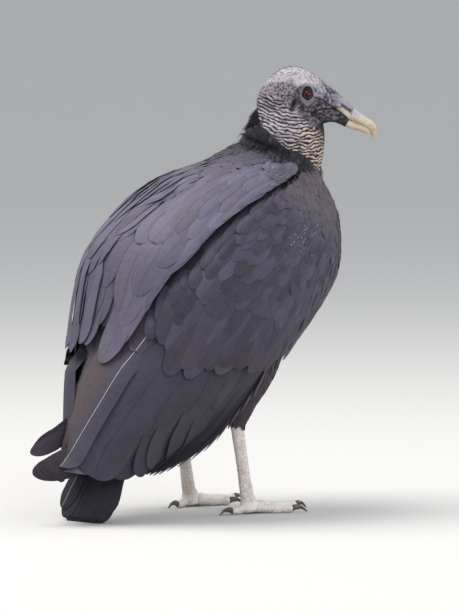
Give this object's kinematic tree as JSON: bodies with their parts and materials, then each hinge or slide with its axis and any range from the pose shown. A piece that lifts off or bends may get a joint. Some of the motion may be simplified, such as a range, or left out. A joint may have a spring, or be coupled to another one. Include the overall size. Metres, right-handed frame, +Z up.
{
  "type": "black vulture",
  "caption": "Life-size black vulture standing at rest: wings folded, bare wrinkled grey head turned to the right, hooked pale bill closed, tail drooping to the ground.",
  "frame": {"origin": "on the floor under the middle of the bird's bounding box", "axes": "+Z up, +X the way the body faces, +Y to the bird's left; the head is turned 45 degrees to the bird's right"},
  "size_m": [0.3704, 0.2076, 0.4091],
  "materials": {
    "plumage": "matt slate-black contour feathers",
    "mantle_feathers": "lilac-grey worn back feathers with a slight sheen",
    "flight_feathers": "smooth blackish flight feathers with a satin sheen",
    "bare_skin": "dry wrinkled grey skin with pale ridges",
    "bill_horn": "ivory horn with ochre stains and a satin sheen",
    "leg_skin": "dry whitish grey scales stained brown",
    "claw_horn": "dark horn with a satin sheen",
    "eye": "wet dark red-brown eye"
  },
  "bodies": {
    "root": {"head": "bare_skin", "bill_upper": "bill_horn", "bill_lower": "bill_horn", "neck": "bare_skin", "collar": "plumage", "eye_right": "eye", "eye_left": "eye", "trunk": "plumage", "tail": "flight_feathers", "scapulars_right": "mantle_feathers", "wing_right": "plumage", "wingtip_right": "flight_feathers", "thigh_right": "plumage", "shank_right": "leg_skin", "foot_right": "leg_skin", "claw_right_inner": "claw_horn", "claw_right_middle": "claw_horn", "claw_right_outer": "claw_horn", "claw_right_hind": "claw_horn", "scapulars_left": "mantle_feathers", "wing_left": "plumage", "wingtip_left": "flight_feathers", "thigh_left": "plumage", "shank_left": "leg_skin", "foot_left": "leg_skin", "claw_left_inner": "claw_horn", "claw_left_middle": "claw_horn", "claw_left_outer": "claw_horn", "claw_left_hind": "claw_horn"}
  },
  "joints": []
}
